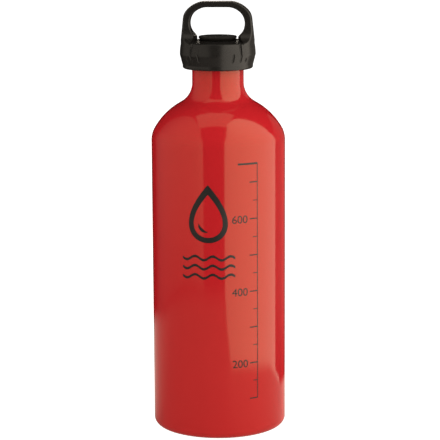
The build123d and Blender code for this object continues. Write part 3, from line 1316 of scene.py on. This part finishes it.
@dataclass
class Studio:
    """Camera, pale floor, soft screens and surroundings."""

    photo_side: int = 440
    sensor_side: float = 36.0
    camera_angle: float = 3.5
    camera_distance: float = 1128.6 * MM
    camera_height: float = 337.0 * MM
    camera_pitch: float = 10.677
    camera_aside: float = 0.0386
    camera_roll: float = -0.32
    camera_reach: float = 100.0
    focal_pixels: float = 1926.0
    floor_size: float = 6.0
    floor_tone: float = 0.6
    floor_glow: float = 1.0
    flat_points: int = 9
    fill: float = 0.35
    table_ways: tuple = (
        -180.0, -150.0, -104.0, -88.0, -60.0, 8.0, 18.0, 89.0, 117.0, 150.0, 180.0
    )
    table_reach: tuple = (0.18, 0.26, 0.30, 0.34, 0.38, 0.38, 0.19, 0.17, 0.11, 0.11, 0.18)
    table_near: tuple = (0.5, 0.62, 0.32, 0.2, 0.21, 0.25, 0.32, 0.5, 0.4, 0.4, 0.5)
    table_far: tuple = (0.5, 0.5, 0.38, 0.3, 0.3, 0.33, 0.4, 0.6, 0.6, 0.6, 0.5)
    table_melt: float = 0.18
    table_points: int = 145
    dome_centre: float = 180.0 * MM
    right_screen: Softbox = Softbox(
        "right_screen", near=10.0, far=114.0, foot=-60.0, top=72.0, fullness=4.0, strength=2.4,
        near_loss=0.35, far_loss=0.25,
    )
    softboxes: tuple = (
        Softbox(
            "left_screen", near=-26.0, far=-138.0, foot=-20.5, top=63.0, fullness=3.3,
            strength=0.58, near_loss=-0.6, near_power=14.0, far_loss=1.0, fade=11.5,
        ),
        right_screen,
        Softbox(
            "right_end", near=114.0, far=158.0, foot=-20.5, top=22.0, fullness=4.0,
            strength=0.15, fade=5.0,
        ),
        Softbox(
            "back_screen", near=173.0, far=187.0, foot=2.0, top=14.0, fullness=8.0, strength=1.9
        ),
        Softbox(
            "left_fill", near=-30.0, far=-112.0, foot=-50.0, top=45.0, fullness=4.0,
            strength=1.5, distance=1.7, glossy=False,
        ),
    )
    ceiling_sides: tuple = (-25.0, 17.0)
    ceiling_ends: tuple = (-21.0, 9.0)
    ceiling_level: float = 2.0
    ceiling_glow: float = 0.8
    lamp_colour: tuple = (1.0, 0.9, 0.77, 1.0)

    def camera(self) -> None:
        """Set the camera at the photograph's place and angle."""
        lens = bpy.data.cameras.new("photo_camera")
        lens.sensor_width = self.sensor_side
        lens.lens = self.focal_pixels * self.sensor_side / self.photo_side
        lens.clip_end = self.camera_reach
        view = bpy.data.objects.new("photo_camera", lens)
        bpy.context.scene.collection.objects.link(view)
        turn, away = math.radians(self.camera_angle), self.camera_distance
        place = Vector((away * math.sin(turn), -away * math.cos(turn), self.camera_height))
        heading = Matrix.Rotation(turn - math.radians(self.camera_aside), 4, "Z")
        tilt = Matrix.Rotation(math.radians(90 - self.camera_pitch), 4, "X")
        roll = Matrix.Rotation(math.radians(self.camera_roll), 4, "Z")
        view.matrix_world = Matrix.Translation(place) @ heading @ tilt @ roll
        bpy.context.scene.camera = view

    def screen_material(self) -> None:
        """A material that only shines, as strongly as its piece's own figure for each point."""
        material = bpy.data.materials.new("lit_screen")
        material.use_nodes = True
        tree = material.node_tree
        tree.nodes.clear()
        light = tree.nodes.new("ShaderNodeEmission")
        strength = tree.nodes.new("ShaderNodeAttribute")
        strength.attribute_name = "strength"
        feed(tree, self.lamp_colour, light.inputs["Color"])
        feed(tree, strength.outputs["Fac"], light.inputs["Strength"])
        feed(tree, light.outputs[0], tree.nodes.new("ShaderNodeOutputMaterial").inputs["Surface"])

    def lit_sheet(self, name: str, points: np.ndarray, faces: list, glow: np.ndarray) -> Piece:
        """A sheet that shines by a figure for each point, and that the camera doesn't see.

        Args:
            name: the sheet's name.
            points: array with a last axis of (x, y, z).
            faces: lists of point indices.
            glow: strength at each point.

        Returns:
            The sheet.
        """
        sheet = make_object(name, points, faces)
        strength = sheet.data.attributes.new("strength", "FLOAT", "POINT")
        strength.data.foreach_set("value", glow.ravel())
        sheet.data.materials.append(bpy.data.materials["lit_screen"])
        sheet.visible_camera = False
        return sheet

    def screens(self) -> None:
        """Hang the lit screens round the object."""
        for softbox in self.softboxes:
            points, faces, glow = softbox.sheet(self.camera_angle, self.dome_centre)
            self.lit_sheet(softbox.name, points, faces, glow).visible_glossy = softbox.glossy

    def ceiling(self) -> None:
        """Hang a level panel over the object; its edges are given as angles from the upright."""
        count, level = self.flat_points, self.ceiling_level
        edges = (self.ceiling_sides, self.ceiling_ends)
        x, y = (np.tan(np.radians(np.linspace(*ends, count))) for ends in edges)
        x, y = (level * part for part in np.meshgrid(x, y))
        points = np.stack([x, y, np.full(x.shape, self.dome_centre + level)], axis=2)
        glow = np.full(x.shape, self.ceiling_glow)
        self.lit_sheet("ceiling_panel", points, grid_faces(count, count), glow)

    def table(self) -> None:
        """The lit table top near the object, which only its gloss shows.

        Its reach and its strengths near the object and at its rim differ from one direction to
        another, and the rim melts into what the right screen gives there.
        """
        aside = np.linspace(-180.0, 180.0, self.table_points)[None]
        way = np.radians(aside + self.camera_angle)
        melt = self.table_melt
        share = np.array([0.0, 0.5, 1.0, 1.0 + melt / 2, 1.0 + melt])[:, None]
        tables = (self.table_reach, self.table_near, self.table_far)
        reach, near, far = (np.interp(aside, self.table_ways, values) for values in tables)
        right = self.right_screen
        across = (aside - right.near) / (right.far - right.near)
        inside = (across > 0) & (across < 1)
        beyond = np.where(inside, right.glow(np.clip(across, 0, 1)), 0.0)
        lit = near + (far - near) * np.minimum(share, 1.0)
        melted = np.clip((share - 1.0) / melt, 0.0, 1.0)
        glow = (1 - melted) * lit + melted * beyond
        radius = share * reach
        points = np.stack([radius * np.sin(way), -radius * np.cos(way), 0 * radius], axis=2)
        sheet = self.lit_sheet("table_top", points, grid_faces(*radius.shape), glow)
        sheet.visible_diffuse = sheet.visible_shadow = False

    def floor(self) -> None:
        """A pale floor, which the gloss of the object doesn't show."""
        side = np.linspace(-self.floor_size, self.floor_size, self.flat_points)
        x, y = np.meshgrid(side, side)
        points = np.stack([x, y, np.zeros(x.shape)], axis=2)
        sheet = make_object("pale_floor", points, grid_faces(*x.shape))
        shader = Shader("pale_paper")
        tone = opaque((self.floor_tone,) * 3)
        shader.constants(Base_Color=tone, Roughness=0.7, Emission_Color=WHITE)
        path = shader.tree.nodes.new("ShaderNodeLightPath")
        lift = maths(shader.tree, "MULTIPLY", path.outputs["Is Camera Ray"], self.floor_glow)
        shader.join(lift, "Emission Strength")
        sheet.data.materials.append(shader.material)
        sheet.visible_glossy = False
        sheet.visible_shadow = False

    def surroundings(self) -> None:
        """White to the camera, a soft fill for matt surfaces, and dark to gloss."""
        world = bpy.data.worlds.new("studio")
        world.use_nodes = True
        tree = world.node_tree
        back = tree.nodes["Background"]
        path = tree.nodes.new("ShaderNodeLightPath")
        matt = maths(tree, "MULTIPLY", path.outputs["Is Diffuse Ray"], self.fill)
        total = maths(tree, "ADD", path.outputs["Is Camera Ray"], matt)
        feed(tree, WHITE, back.inputs["Color"])
        feed(tree, total, back.inputs["Strength"])
        bpy.context.scene.world = world

    def build(self) -> None:
        """Set up the camera, the floor and the light."""
        bpy.context.scene.view_settings.view_transform = "Standard"
        self.camera()
        self.floor()
        self.surroundings()
        self.screen_material()
        self.screens()
        self.ceiling()
        self.table()


def main() -> None:
    """Build the studio, the bottle, its prints and its closure."""
    logging.basicConfig(level=logging.INFO, format="%(message)s")
    nodes = frame["nodes"]
    finishes = Finishes(Effects())
    thread = Thread()
    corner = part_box("bottle")[1]
    Studio().build()
    FuelBottle(finishes, thread, body_radius=corner[0], rim_level=corner[2]).build()
    Prints(finishes, radius=corner[0]).build()
    Closure(finishes, thread, nodes).build()


if __name__ == "__main__":
    main()
